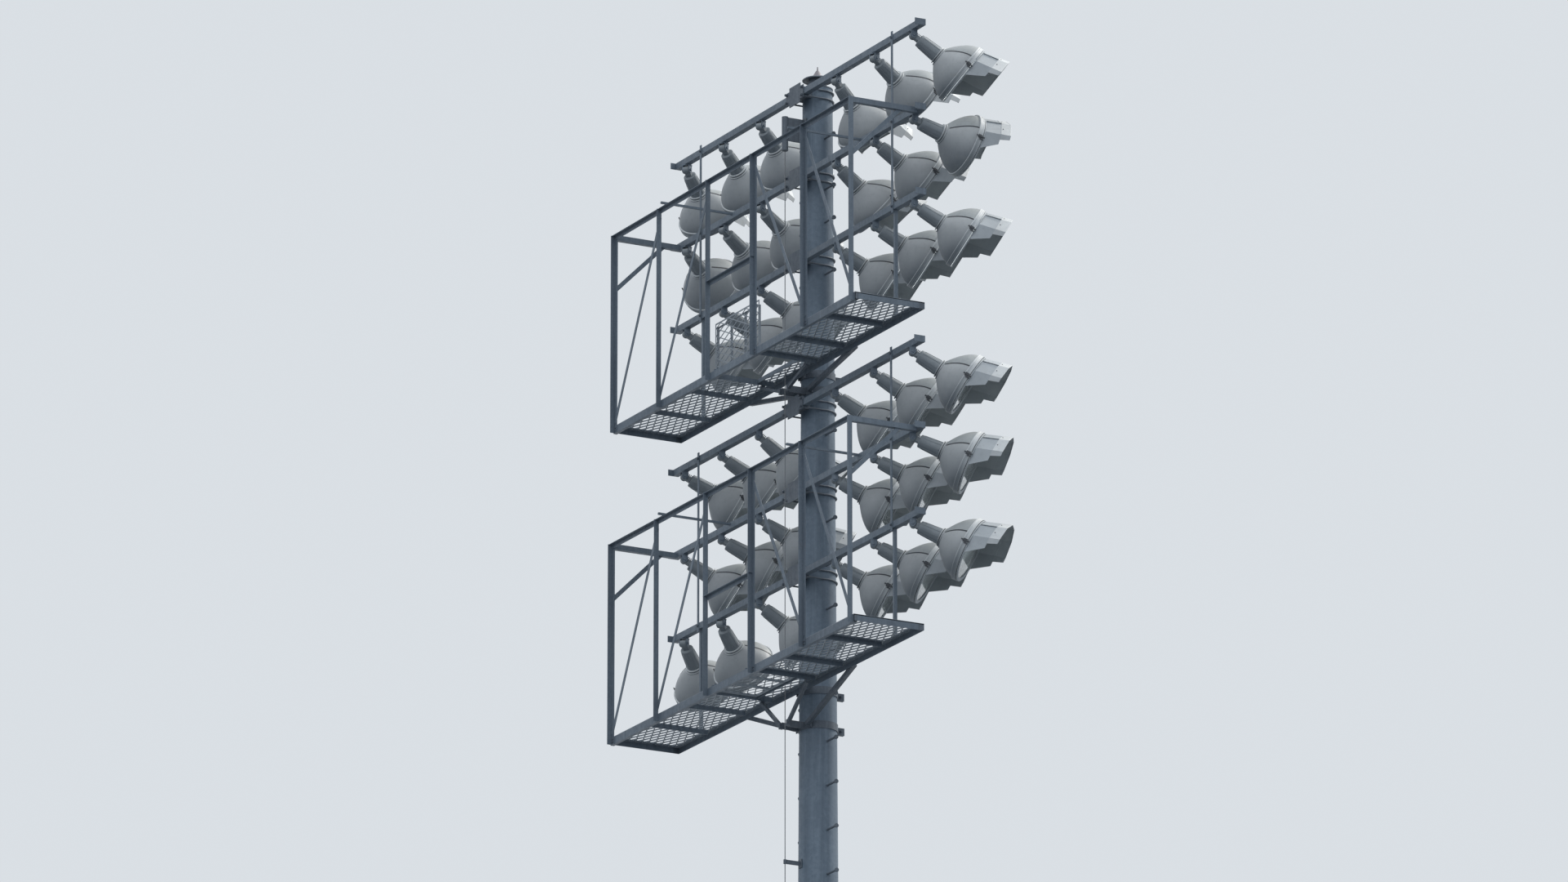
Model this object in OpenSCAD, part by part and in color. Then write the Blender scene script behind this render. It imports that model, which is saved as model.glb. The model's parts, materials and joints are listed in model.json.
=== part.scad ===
/* [Pole] */
// Height of the pole's top above the underside of its base plate
pole_h = 30000; // [28000:500:32000]
// Outer diameter at the top of the pole
pole_top_d = 280; // [260:5:300]
// Gain in outer diameter for each metre down the pole
pole_taper = 11.5; // [10.5:0.5:12.5]
// Wall of the rolled pole sections
pole_wall = 6; // [5:1:8]
// Length by which each section sleeves over the one below
slip_len = 1000; // [800:50:1200]

/* [Base] */
// Thickness of the base plate
plate_t = 40; // [30:5:50]
// Diameter of the base plate
plate_d = 980; // [960:10:1040]
// Number of foundation bolt holes
bolt_n = 12; // [8:2:16]
// Diameter of the circle that the bolt holes lie on
bolt_pcd = 840; // [800:10:880]
// Diameter of each bolt hole
bolt_hole_d = 42; // [36:1:48]
// Height of the gussets between the bolt holes
gusset_h = 280; // [200:10:350]
// Thickness of each gusset
gusset_t = 16; // [12:1:20]
// Height of the door opening's lower edge
door_z = 700; // [600:50:1000]
// Width of the door opening
door_w = 160; // [130:10:190]
// Height of the door opening
door_h = 700; // [500:50:900]
// Lap of the door cover round its opening
door_lap = 25; // [15:5:35]
// Thickness of the door cover
door_t = 5; // [4:1:8]

/* [Cap] */
// Thickness of the plate that closes the pole's top
cap_plate_t = 8; // [6:1:12]
// Diameter of the cap's neck
cap_neck_d = 130; // [100:10:160]
// Height of the cap's neck
cap_neck_h = 90; // [60:10:120]
// Diameter of the cap's brim
cap_brim_d = 220; // [180:10:260]
// Height of the lightning spike above the cap's cone
spike_h = 60; // [40:5:100]

/* [Step pegs] */
// Depths of the upper pegs below the pole's top, set clear of the crossarm clamps
peg_upper = [510, 1010, 1330, 1840, 2230, 2600];
// Depth of the first evenly spaced pair of pegs below the pole's top
peg_first = 3397; // [3380:5:3410]
// Spacing of the evenly spaced pegs
peg_pitch = 420; // [410:5:430]
// Height above the base at which the pegs stop
peg_low = 3000; // [2500:100:4000]
// Length of a peg outside the pole
peg_len = 180; // [150:5:220]
// Diameter of a peg
peg_d = 20; // [16:1:24]
// Diameter of a peg's head
peg_head_d = 40; // [32:2:46]

/* [Tiers] */
// Depth of the top crossarm below the pole's top
tier_depth = 80; // [70:10:120]
// Distance from the upper tier down to the lower one
tier_pitch = 3040; // [3030:5:3060]
// Distance between crossarms of one tier
arm_pitch = 815; // [800:5:840]
// Depth of the platform's floor below the tier's lowest crossarm
floor_drop = 1050; // [1020:10:1080]

/* [Crossarms] */
// Length of a crossarm
arm_len = 4850; // [4700:50:5000]
// Width and height of a crossarm's square tube
arm_w = 60; // [56:2:66]
// Wall of a crossarm's tube
arm_wall = 4; // [3:0.5:5]
// Space between the pole's face and the crossarm's back
arm_stand = 25; // [20:1:35]
// Length of the plate that caps a crossarm's end, across the arm
arm_end_w = 110; // [90:5:130]
// Thickness of that end plate
arm_end_t = 8; // [6:1:10]

/* [Pole clamps] */
// Diameter of the clamps' round bar
ubolt_d = 16; // [12:1:18]
// Width of the clamps' front plate
clamp_w = 210; // [190:5:230]
// Depth of the front plate below and above the crossarm's centre
clamp_half_h = 95; // [85:5:105]
// Thickness of the front plate
clamp_t = 8; // [6:1:12]
// Width of the cradle between pole and crossarm
cradle_w = 180; // [150:10:200]

/* [Floodlights] */
// Spacing of the floodlights along a crossarm
lamp_pitch = 750; // [740:5:770]
// Depth of the tilt pivot below the crossarm's centre
pivot_drop = 80; // [76:1:90]
// Diameter of the pivot pin
pin_d = 16; // [12:1:18]
// Width of the lamp's eye between the bracket's cheeks
eye_w = 58; // [50:1:64]
// Diameter of the lamp's eye
eye_d = 70; // [64:1:72]
// Distance from the pivot to the back of the reflector bowl
neck_len = 300; // [290:5:310]
// Radius of the neck at its upper end
neck_r1 = 62; // [58:1:65]
// Radius of the neck where it meets the bowl
neck_r2 = 73; // [70:1:78]
// Outer radius of the reflector bowl at its mouth
bowl_r = 290; // [280:2:294]
// Depth of the reflector bowl
bowl_depth = 255; // [245:5:265]
// Wall of the reflector bowl
bowl_wall = 5; // [4:1:6]
// Depth of the rim ring round the bowl's mouth
rim_h = 48; // [44:1:52]
// Width of the rim ring outside the bowl
rim_w = 12; // [10:1:14]
// Thickness of the front glass
glass_t = 6; // [5:1:8]
// Length of the visor in front of the glass
visor_len = 240; // [230:5:245]
// Length of the visor's long rear sides
visor_rear = 150; // [140:5:160]
// Outward flare of the visor over its length
visor_flare = 20; // [15:5:25]
// Rise of the visor's front edge above its root
visor_lift = 55; // [45:5:60]
// Thickness of the visor's sheet
visor_t = 3; // [3:0.5:4]
// Tilt below level of the lamps on the six crossarms, from the +X end to the -X end
aims = [
    [36, 33, 32, 40, 29, 37],
    [20, 27, 27, 39, 32, 18],
    [31, 30, 32, 31, 30, 31],
    [27, 33, 41, 34, 33, 32],
    [32, 29, 30, 29, 28, 25],
    [33, 33, 37, 30, 29, 27]
];
// Turn of the same lamps to the side, positive towards -X
turns = [
    [-35, -30, -28, -20, -15, 15],
    [-35, -20, -18, 3, 5, 3],
    [12, 12, 14, 15, 16, 18],
    [15, 16, 18, 20, 22, 25],
    [20, 24, 20, 28, 29, 30],
    [-38, -35, 20, 28, 31, 34]
];

/* [Platforms] */
// Length of a platform
plat_len = 4800; // [4700:50:4850]
// Width of a platform
plat_w = 720; // [700:10:760]
// Space between the pole's face and the platform's far edge
plat_stand = 22; // [18:1:26]
// Depth of the edge member on the guard's side
edge_h = 70; // [60:5:80]
// Leg of the other edge angles
angle_w = 60; // [50:2:64]
// Leg of the cross bearers
bearer_w = 50; // [40:2:56]
// Thickness of the rolled angles
angle_t = 6; // [5:0.5:7]
// Thickness of the mesh floor
mesh_t = 4; // [4:0.5:6]
// Long way of the expanded mesh's diamonds, along the platform
mesh_x = 180; // [160:5:220]
// Short way of the diamonds, across the platform
mesh_y = 70; // [64:1:80]
// Width of the mesh's strands
strand = 9; // [7:0.5:11]

/* [Hatches] */
// Half width of the hatch opening
hatch_half = 420; // [400:5:440]
// Distance of the hinge axis from the guard's side of the platform
hinge_in = 45; // [42:1:60]
// Depth of the lid's stiffening frame
lid_h = 26; // [22:1:30]
// Diameter of the hinge barrels
barrel_d = 16; // [14:1:18]
// Diameter of the hinge pin
hinge_pin_d = 8; // [6:1:9]

/* [Guard rails] */
// Height of the top rail above the floor
rail_h = 1870; // [1860:5:1880]
// Height of the middle rail in the bay at the hatch
mid_rail_h = 880; // [800:10:1000]
// Distance of the outer posts from the pole's axis
post_x2 = 2375; // [2330:5:2390]
// Distance of the middle posts from the pole's axis
post_x1 = 1430; // [1380:10:1480]
// Distance of the inner posts from the pole's axis
post_x0 = 440; // [430:5:480]
// Leg of the guard's posts and rails
post_w = 50; // [44:1:54]
// Thickness of the guard's angles
post_t = 5; // [4:0.5:6]
// Width of the guard's diagonals
diag_w = 40; // [32:2:46]

/* [Hangers and supports] */
// Distance of the hangers from the pole's axis
hanger_x = 1900; // [1860:5:1940]
// Width of a hanger strap
hanger_w = 30; // [26:1:36]
// Thickness of a hanger strap
hanger_t = 8; // [6:1:10]
// Height of the bands round the pole
band_h = 70; // [60:5:80]
// Thickness of the bands
band_t = 8; // [6:1:10]
// Reach of the knee struts along the platform
strut_x = 1040; // [950:10:1100]
// Width of the knee struts
strut_w = 40; // [36:2:46]

/* [Fall arrest line] */
// Distance of the steel cable from the pole's axis
cable_y = 344; // [342:1:352]
// Diameter of the cable
cable_d = 8; // [8:1:10]
// Depth of the top bracket below the pole's top
cable_top = 360; // [340:5:380]
// Height of the lower bracket above the base
cable_low = 1600; // [1500:50:1800]

/* [Hidden] */
$fn = 48;
seat = 0.3;
cut = 1;
slip_step = pole_wall + seat;
join_hi = round(pole_h * 2 / 3);
join_lo = round(pole_h / 3);
steel = [0.42, 0.46, 0.50];
dark = [0.30, 0.33, 0.37];
pale = [0.74, 0.75, 0.74];
mesh_grey = [0.52, 0.56, 0.60];
tint = [0.55, 0.62, 0.66];
clevis_t = 8;
clevis_gap = 1;
clevis_plate = 8;
channel_w = 35;
disc_r = neck_r2 + 12;
rim_r = bowl_r + rim_w;
rim_z = neck_len + bowl_depth - 20;
glass_z = rim_z + rim_h + seat;
bezel_z = glass_z + glass_t + seat;
bezel_t = 10;
bezel_r = rim_r - 3 - seat;
ring_r = bowl_r - bowl_wall - 16;
back_z = neck_len - 6;
hood_z = bezel_z + bezel_t + seat;
band_drop = [170, 340];
TIERS = ["upper", "lower"];

// radius of the upper section's outer face, carried on down to the base
function line_r(z) = pole_top_d / 2 + (pole_h - z) * pole_taper / 2000;
// radius of the pole's outer face
function pole_r(z) =
    line_r(z) - (z < join_hi ? slip_step : 0) - (z < join_lo ? slip_step : 0);
function arm_z(t, r) = pole_h - tier_depth - t * tier_pitch - r * arm_pitch;
function floor_z(t) = arm_z(t, 2) - floor_drop;
function frame_z(t) = floor_z(t) - mesh_t;
function arm_y(t) = pole_r(arm_z(t, 2)) + arm_stand + arm_w / 2;
function far_y(t) = pole_r(floor_z(t)) + plat_stand;
function near_y(t) = far_y(t) + plat_w;
function hinge_y(t) = near_y(t) - hinge_in;
function hinge_z(t) = frame_z(t) + seat + mesh_t + barrel_d / 2;
function lamp_x(i) = (i < 3 ? 3 - i : 2 - i) * lamp_pitch;
function lamp_name(t, r, i) = str("floodlight_", TIERS[t], "_", r + 1, i + 1);

module section(z0, z1, inset) {
    difference() {
        translate([0, 0, z0])
            cylinder(h = z1 - z0, r1 = line_r(z0) - inset, r2 = line_r(z1) - inset, $fn = 96);
        translate([0, 0, z0 - cut])
            cylinder(
                h = z1 - z0 + 2 * cut,
                r1 = line_r(z0 - cut) - inset - pole_wall,
                r2 = line_r(z1 + cut) - inset - pole_wall,
                $fn = 96
            );
    }
}

// upright slot with round ends, cut through the pole's wall towards -Y
module door_shape(lap) {
    w = door_w + 2 * lap;
    translate([0, 0, door_z - lap])
        rotate([90, 0, 0])
            linear_extrude(height = 400) {
                translate([-w / 2, w / 2])
                    square([w, door_h + 2 * lap - w]);
                translate([0, w / 2])
                    circle(d = w);
                translate([0, door_h + 2 * lap - w / 2])
                    circle(d = w);
            }
}

module pole() {
    color(steel) {
        section(join_hi, pole_h, 0);
        section(join_lo, join_hi + slip_len, slip_step);
        difference() {
            section(plate_t, join_lo + slip_len, 2 * slip_step);
            door_shape(0);
        }
    }
}

module gusset() {
    low = plate_t + seat;
    foot = pole_r(low) + seat;
    head = pole_r(plate_t + gusset_h) + seat;
    rotate([90, 0, 0])
        linear_extrude(height = gusset_t, center = true)
            polygon([
                [foot, low],
                [plate_d / 2 - 20, low],
                [plate_d / 2 - 20, plate_t + 35],
                [head + 22, plate_t + gusset_h],
                [head, plate_t + gusset_h]
            ]);
}

module base_plate() {
    color(steel) {
        difference() {
            cylinder(h = plate_t, d = plate_d, $fn = 96);
            for (i = [0:bolt_n - 1])
                rotate([0, 0, i * 360 / bolt_n])
                    translate([bolt_pcd / 2, 0, -cut])
                        cylinder(h = plate_t + 2 * cut, d = bolt_hole_d);
        }
        for (i = [0:bolt_n - 1])
            rotate([0, 0, (i + 0.5) * 360 / bolt_n])
                gusset();
    }
}

// curved cover that laps the door opening
module base_door() {
    z0 = door_z - 2 * door_lap;
    z1 = door_z + door_h + 2 * door_lap;
    color(steel)
        intersection() {
            difference() {
                translate([0, 0, z0])
                    cylinder(
                        h = z1 - z0,
                        r1 = pole_r(z0) + seat + door_t,
                        r2 = pole_r(z1) + seat + door_t,
                        $fn = 96
                    );
                translate([0, 0, z0 - cut])
                    cylinder(
                        h = z1 - z0 + 2 * cut,
                        r1 = pole_r(z0 - cut) + seat,
                        r2 = pole_r(z1 + cut) + seat,
                        $fn = 96
                    );
            }
            door_shape(door_lap);
        }
}

// closing plate, neck, brim and cone turned in one, with the spike on top
module pole_cap() {
    z1 = cap_plate_t;
    z2 = z1 + cap_neck_h;
    z3 = z2 + 12;
    z4 = z3 + 62;
    color(dark)
        translate([0, 0, pole_h])
            rotate_extrude()
                polygon([
                    [0, 0],
                    [pole_top_d / 2 + 4, 0],
                    [pole_top_d / 2 + 4, z1],
                    [cap_neck_d / 2, z1],
                    [cap_neck_d / 2, z2],
                    [cap_brim_d / 2, z2],
                    [cap_brim_d / 2, z3],
                    [20, z4],
                    [7, z4 + 6],
                    [5, z4 + spike_h],
                    [0, z4 + spike_h + 6]
                ]);
}

function peg_depths() = concat(
    peg_upper,
    [for (d = [peg_first:peg_pitch:pole_h - peg_low]) d]
);

module step_peg(z) {
    x0 = pole_r(z - peg_d / 2) + seat;
    translate([x0, 0, z])
        rotate([0, 90, 0]) {
            cylinder(h = peg_len - 10, d = peg_d, $fn = 16);
            translate([0, 0, peg_len - 10])
                cylinder(h = 10, d = peg_head_d, $fn = 24);
        }
}

module step_pegs() {
    color(dark)
        for (d = peg_depths(), s = [0, 1])
            mirror([s, 0, 0])
                step_peg(pole_h - d);
}

module cable_eye(z, h, d) {
    translate([0, cable_y, z])
        difference() {
            cylinder(h = h, d = d, $fn = 24);
            translate([0, 0, -cut])
                cylinder(h = h + 2 * cut, d = cable_d + 2 * seat, $fn = 24);
        }
}

// flat arm on edge from the pole's face out to the cable
module cable_arm(z, h, w, eye_d) {
    y0 = pole_r(z) + seat;
    translate([-w / 2, y0, z])
        cube([w, cable_y - y0 - eye_d / 2 + 2, h]);
}

module lifeline_brackets() {
    top = pole_h - cable_top;
    color(dark) {
        // top bracket with the shock absorber's round housing
        cable_arm(top - 10, 60, 12, 50);
        cable_arm(top - 180, 40, 12, 60);
        translate([-50, pole_r(top - 200) + seat, top - 200])
            cube([100, 8, 260]);
        translate([0, cable_y, top - 280])
            difference() {
                cylinder(h = 330, d = 60, $fn = 32);
                translate([0, 0, -cut])
                    cylinder(h = 200, d = cable_d + 2 * seat, $fn = 24);
            }
        // guide arms down the pole
        for (z = [pole_h * 3 / 4, pole_h / 2, pole_h / 4]) {
            cable_eye(z, 40, 30);
            cable_arm(z, 40, 10, 30);
            translate([-30, pole_r(z - 20) + seat, z - 20])
                cube([60, 8, 80]);
        }
        // lower bracket with the tensioner's housing
        cable_eye(cable_low, 180, 34);
        cable_arm(cable_low, 20, 40, 34);
        translate([-50, pole_r(cable_low - 60) + seat, cable_low - 60])
            cube([100, 10, 160]);
    }
}

module lifeline_cable() {
    z0 = cable_low - 60;
    z1 = pole_h - cable_top - 100;
    color(dark)
        translate([0, cable_y, z0])
            cylinder(h = z1 - z0, d = cable_d, $fn = 16);
}

// two cheeks and the pivot pin under the arm, for one floodlight
module lamp_bracket() {
    inner = eye_w / 2 + clevis_gap;
    top = -arm_w / 2 - seat;
    translate([-inner - clevis_t - 4, -arm_w / 2, top - clevis_plate])
        cube([2 * (inner + clevis_t + 4), arm_w, clevis_plate]);
    for (s = [0, 1])
        mirror([s, 0, 0])
            translate([inner, 0, -pivot_drop])
                rotate([90, 0, 90])
                    linear_extrude(height = clevis_t) {
                        circle(d = arm_w);
                        translate([-arm_w / 2, 0])
                            square([arm_w, pivot_drop + top - 1]);
                    }
    translate([0, 0, -pivot_drop])
        rotate([0, 90, 0]) {
            cylinder(h = 2 * (inner + clevis_t + 10), d = pin_d, center = true, $fn = 32);
            for (s = [-1, 1])
                translate([0, 0, s * (inner + clevis_t + 5)])
                    cylinder(h = 10, d = pin_d * 1.7, center = true, $fn = 6);
        }
}

module crossarm(t, r) {
    translate([0, arm_y(t), arm_z(t, r)]) {
        difference() {
            cube([arm_len, arm_w, arm_w], center = true);
            cube([arm_len + 2, arm_w - 2 * arm_wall, arm_w - 2 * arm_wall], center = true);
        }
        for (s = [-1, 1])
            translate([s * ((arm_len + arm_end_t) / 2 + seat), (arm_end_w - arm_w) / 2, 0])
                cube([arm_end_t, arm_end_w, arm_w], center = true);
        for (i = [0:5])
            translate([lamp_x(i), 0, 0])
                rotate([0, 0, -turns[3 * t + r][i]])
                    lamp_bracket();
    }
}

module crossarms(t) {
    color(steel)
        for (r = [0:2])
            crossarm(t, r);
}

module u_bar(y_end, z) {
    r = pole_r(z - ubolt_d / 2) + seat + ubolt_d / 2;
    translate([0, 0, z]) {
        rotate([0, 0, 180])
            rotate_extrude(angle = 180)
                translate([r, 0])
                    circle(d = ubolt_d, $fn = 24);
        for (s = [-1, 1])
            translate([s * r, 0, 0])
                rotate([-90, 0, 0])
                    cylinder(h = y_end, d = ubolt_d, $fn = 24);
    }
}

module pole_clamp(t, r) {
    z = arm_z(t, r);
    y = arm_y(t);
    face = y + arm_w / 2 + seat;
    rise = arm_w / 2 + ubolt_d / 2 + 2;
    reach = pole_r(z - 2 * rise) + ubolt_d + 12;
    // cradle, hollowed to the pole's round
    difference() {
        translate([-cradle_w / 2, 0, z - arm_w / 2])
            cube([cradle_w, y - arm_w / 2 - seat, arm_w]);
        translate([0, 0, z - arm_w / 2 - cut])
            cylinder(
                h = arm_w + 2 * cut,
                r1 = pole_r(z - arm_w / 2 - cut) + seat,
                r2 = pole_r(z + arm_w / 2 + cut) + seat,
                $fn = 96
            );
    }
    // two round bars behind the pole, with the plate that draws them tight
    u_bar(face + 30, z + rise);
    u_bar(face + 30, z - rise);
    translate([-reach, face, z - rise - 20])
        cube([2 * reach, clamp_t, 2 * rise + 40]);
    translate([-clamp_w / 2, face, z - clamp_half_h])
        cube([clamp_w, clamp_t, 2 * clamp_half_h]);
}

module pole_clamps(t) {
    color(dark)
        for (r = [0:2])
            pole_clamp(t, r);
}

module hangers(t) {
    top = arm_z(t, 0) + arm_w / 2;
    low = arm_z(t, 2) - arm_w / 2;
    face = arm_y(t) + arm_w / 2 + seat;
    foot = floor_z(t) + seat;
    color(steel)
        for (s = [-1, 1]) {
            translate([s * hanger_x - hanger_w / 2, face, low - 30])
                cube([hanger_w, hanger_t, top - low + 60]);
            translate([s * hanger_x - hanger_w / 2, arm_y(t) - hanger_w / 2, foot])
                cube([hanger_w, hanger_w, low - seat - foot]);
        }
}

// angle section along +X, its corner at the origin, its legs along +Y and -Z
module angle_x(len, leg, thick) {
    rotate([90, 0, 90])
        linear_extrude(height = len)
            polygon([
                [0, 0], [leg, 0], [leg, -thick], [thick, -thick], [thick, -leg], [0, -leg]
            ]);
}

// the same along +Y, its legs along +X and -Z
module angle_y(len, leg, thick) {
    translate([0, len, 0])
        rotate([90, 0, 0])
            linear_extrude(height = len)
                polygon([
                    [0, 0], [leg, 0], [leg, -thick], [thick, -thick], [thick, -leg], [0, -leg]
                ]);
}

function bearers() = [hatch_half, 950, 1700];
function strip_y(t) = cable_y + 30;

// fixed half of one hinge: two lugs on the channel and the pin
module hinge_lugs(t) {
    rise = hinge_z(t) - frame_z(t);
    translate([0, hinge_y(t), rise])
        rotate([0, 90, 0]) {
            cylinder(h = 60, d = hinge_pin_d, center = true, $fn = 24);
            for (e = [-1, 1])
                translate([0, 0, e * 25])
                    cylinder(h = 20, d = barrel_d, center = true, $fn = 32);
        }
    for (e = [-1, 1])
        translate([e * 25 - 10, hinge_y(t), seat])
            cube([20, hinge_in, rise - seat]);
}

module platform_frame(t) {
    y0 = far_y(t);
    y1 = near_y(t) - seat;
    ya = y0 + angle_w + seat;
    yb = y1 - channel_w - seat;
    color(steel)
        translate([0, 0, frame_z(t)]) {
            translate([-plat_len / 2, y0, 0])
                angle_x(plat_len, angle_w, angle_t);
            // deep channel on the guard's side
            translate([-plat_len / 2, y1 - channel_w, -edge_h])
                difference() {
                    cube([plat_len, channel_w, edge_h]);
                    translate([-cut, -cut, angle_t])
                        cube([
                            plat_len + 2 * cut,
                            channel_w - angle_t + cut,
                            edge_h - 2 * angle_t
                        ]);
                }
            for (s = [0, 1])
                mirror([s, 0, 0]) {
                    translate([plat_len / 2, ya, 0])
                        mirror([1, 0, 0])
                            angle_y(yb - ya, angle_w, angle_t);
                    for (x = bearers())
                        translate([x, ya, 0])
                            angle_y(yb - ya, bearer_w, angle_t);
                    translate([330, 0, 0])
                        hinge_lugs(t);
                }
            // trimmer between the hatch and the line's strip
            translate([-hatch_half + seat, strip_y(t) + 40, 0])
                mirror([0, 1, 0])
                    angle_x(2 * (hatch_half - seat), 40, angle_t);
        }
}

// expanded mesh: two staggered sets of diamonds, trimmed along a plain edge
module mesh_panel(x0, y0, w, d) {
    edge = 1.5 * strand;
    nx = round((w - 2 * edge) / mesh_x);
    ny = round((d - 2 * edge) / mesh_y);
    px = (w - 2 * edge) / nx;
    py = (d - 2 * edge) / ny;
    open = 1 - strand * norm([px, py]) / (px * py);
    hx = open * px / 2;
    hy = open * py / 2;
    translate([x0, y0, 0])
        linear_extrude(height = mesh_t)
            difference() {
                square([w, d]);
                intersection() {
                    translate([edge, edge])
                        square([w - 2 * edge, d - 2 * edge]);
                    translate([edge, edge])
                        for (i = [0:2 * nx], j = [0:2 * ny])
                            if ((i + j) % 2 == 0)
                                translate([i * px / 2, j * py / 2])
                                    polygon([[-hx, 0], [0, -hy], [hx, 0], [0, hy]]);
                }
            }
}

module platform_floor(t) {
    y0 = far_y(t);
    y1 = near_y(t);
    side = plat_len / 2 - hatch_half;
    inset = bearer_w - 15;
    color(mesh_grey)
        translate([0, 0, frame_z(t)]) {
            mesh_panel(-plat_len / 2, y0, side - inset, plat_w - 1);
            mesh_panel(hatch_half + inset, y0, side - inset, plat_w - 1);
            difference() {
                mesh_panel(
                    -hatch_half - inset + 5,
                    y0,
                    2 * (hatch_half + inset) - 10,
                    strip_y(t) + 6 - y0
                );
                translate([0, cable_y, -cut])
                    cylinder(h = 20, d = 50, $fn = 32);
            }
        }
}

// lid as it lies closed; the hinge axis is the X line through the origin
module lid(t) {
    len = hinge_y(t) - 5 - (strip_y(t) + 12);
    half = hatch_half + 15;
    inner = hatch_half - 6;
    z0 = -barrel_d / 2 - mesh_t;
    translate([0, -5 - len, z0])
        mesh_panel(-half, 0, 2 * half, len);
    // stiffening frame of flats on edge, inside the opening
    translate([-inner, -5 - len + 40, z0 - lid_h])
        difference() {
            cube([2 * inner, len - 55, lid_h]);
            translate([5, 5, -cut])
                cube([2 * inner - 10, len - 65, lid_h + 2 * cut]);
        }
    for (x = [-inner / 3, inner / 3])
        translate([x - 2.5, -5 - len + 42, z0 - lid_h])
            cube([5, len - 60, lid_h]);
    // straps and barrels of the two hinges
    for (s = [-1, 1])
        translate([s * 330, 0, 0]) {
            translate([-14.5, -60, -barrel_d / 2])
                cube([29, 56, 5]);
            difference() {
                union() {
                    rotate([0, 90, 0])
                        cylinder(h = 29, d = barrel_d, center = true, $fn = 32);
                    translate([-14.5, -8, -barrel_d / 2])
                        cube([29, 8, 5]);
                }
                rotate([0, 90, 0])
                    cylinder(h = 31, d = hinge_pin_d + 2 * seat, center = true, $fn = 24);
            }
        }
}

module hatch_lid(t, open) {
    color(mesh_grey)
        translate([0, hinge_y(t), hinge_z(t)])
            rotate([-open, 0, 0])
                lid(t);
}

// flat bar in the guard's plane between two points given as [x, z]
module flat_between(a, b, w, y, thick) {
    run = b - a;
    translate([a[0], y, a[1]])
        rotate([0, -atan2(run[1], run[0]), 0])
            translate([0, 0, -w / 2])
                cube([norm(run), thick, w]);
}

module post(x, y, z0, z1, hand) {
    translate([x, y, z0])
        mirror([hand, 0, 0])
            linear_extrude(height = z1 - z0)
                polygon([
                    [0, 0], [post_w, 0], [post_w, post_t], [post_t, post_t], [post_t, post_w], [0, post_w]
                ]);
}

// arm from a corner post back to the middle crossarm, with its knee
module end_arm(t) {
    y0 = arm_y(t) + arm_w / 2;
    y1 = near_y(t) - seat;
    top = floor_z(t) + rail_h - 2;
    knee = floor_z(t) + 1340;
    translate([post_x2 - post_w, y0, top - post_w])
        cube([post_w, y1 - y0, post_w]);
    translate([post_x2 - post_w / 2 - 10, 0, 0])
        rotate([90, 0, 90])
            linear_extrude(height = 20)
                polygon([
                    [y1, knee - 28],
                    [y1, knee + 28],
                    [y1 - 455, top - post_w + 1],
                    [y1 - 510, top - post_w + 1]
                ]);
}

// posts, rails and diagonals, all in the plane of the platform's edge
module guard_panel(t) {
    y = near_y(t);
    z0 = frame_z(t) - edge_h;
    foot = floor_z(t) + 20;
    top = floor_z(t) + rail_h;
    face = y + post_t - 1;
    head = top - 80;
    for (s = [0, 1])
        mirror([s, 0, 0]) {
            for (x = [post_x0, post_x1, post_x2])
                post(x, y, z0, top, x == post_x2 ? 1 : 0);
            flat_between([post_x1 + 5, head], [post_x2 - 20, foot], diag_w, face, post_t);
            flat_between([post_x0 + 5, head], [post_x1 + 20, foot], diag_w, face, post_t);
        }
    translate([-post_x2, face, top - 2])
        angle_x(2 * post_x2, diag_w, post_t);
    translate([-post_x0 - 20, face, floor_z(t) + mid_rail_h])
        angle_x(2 * post_x0 + 40, diag_w, post_t);
}

module guard_rail(t) {
    arm = arm_y(t) + arm_w / 2;
    color(steel) {
        guard_panel(t);
        for (s = [0, 1])
            mirror([s, 0, 0]) {
                end_arm(t);
                // tie laid over the top rail, back to the middle crossarm
                translate([plat_len * 0.2625, arm, floor_z(t) + rail_h - 2 + seat])
                    cube([20, near_y(t) + post_w + 40 - arm, 20]);
            }
    }
}

module band(z) {
    r = pole_r(z - band_h / 2) + seat;
    translate([0, 0, z - band_h / 2]) {
        difference() {
            cylinder(h = band_h, r = r + band_t, $fn = 96);
            translate([0, 0, -cut])
                cylinder(h = band_h + 2 * cut, r = r, $fn = 96);
            translate([-6, -r - band_t - cut, -cut])
                cube([12, band_t + 4 + cut, band_h + 2 * cut]);
        }
        // lugs and bolt of the split behind the pole
        for (s = [0, 1])
            mirror([s, 0, 0])
                translate([6, -r - 90, 0])
                    cube([10, 90 - 2, band_h]);
        translate([0, -r - 50, band_h / 2])
            rotate([0, 90, 0])
                cylinder(h = 90, d = 16, center = true, $fn = 24);
    }
}

// square bar along X and Z from one point to another, both given as [x, z]
module strut(a, b, y, w) {
    run = b - a;
    translate([a[0], y, a[1]])
        rotate([0, -atan2(run[1], run[0]), 0])
            translate([0, 0, -w / 2])
                cube([norm(run), w, w]);
}

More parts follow.
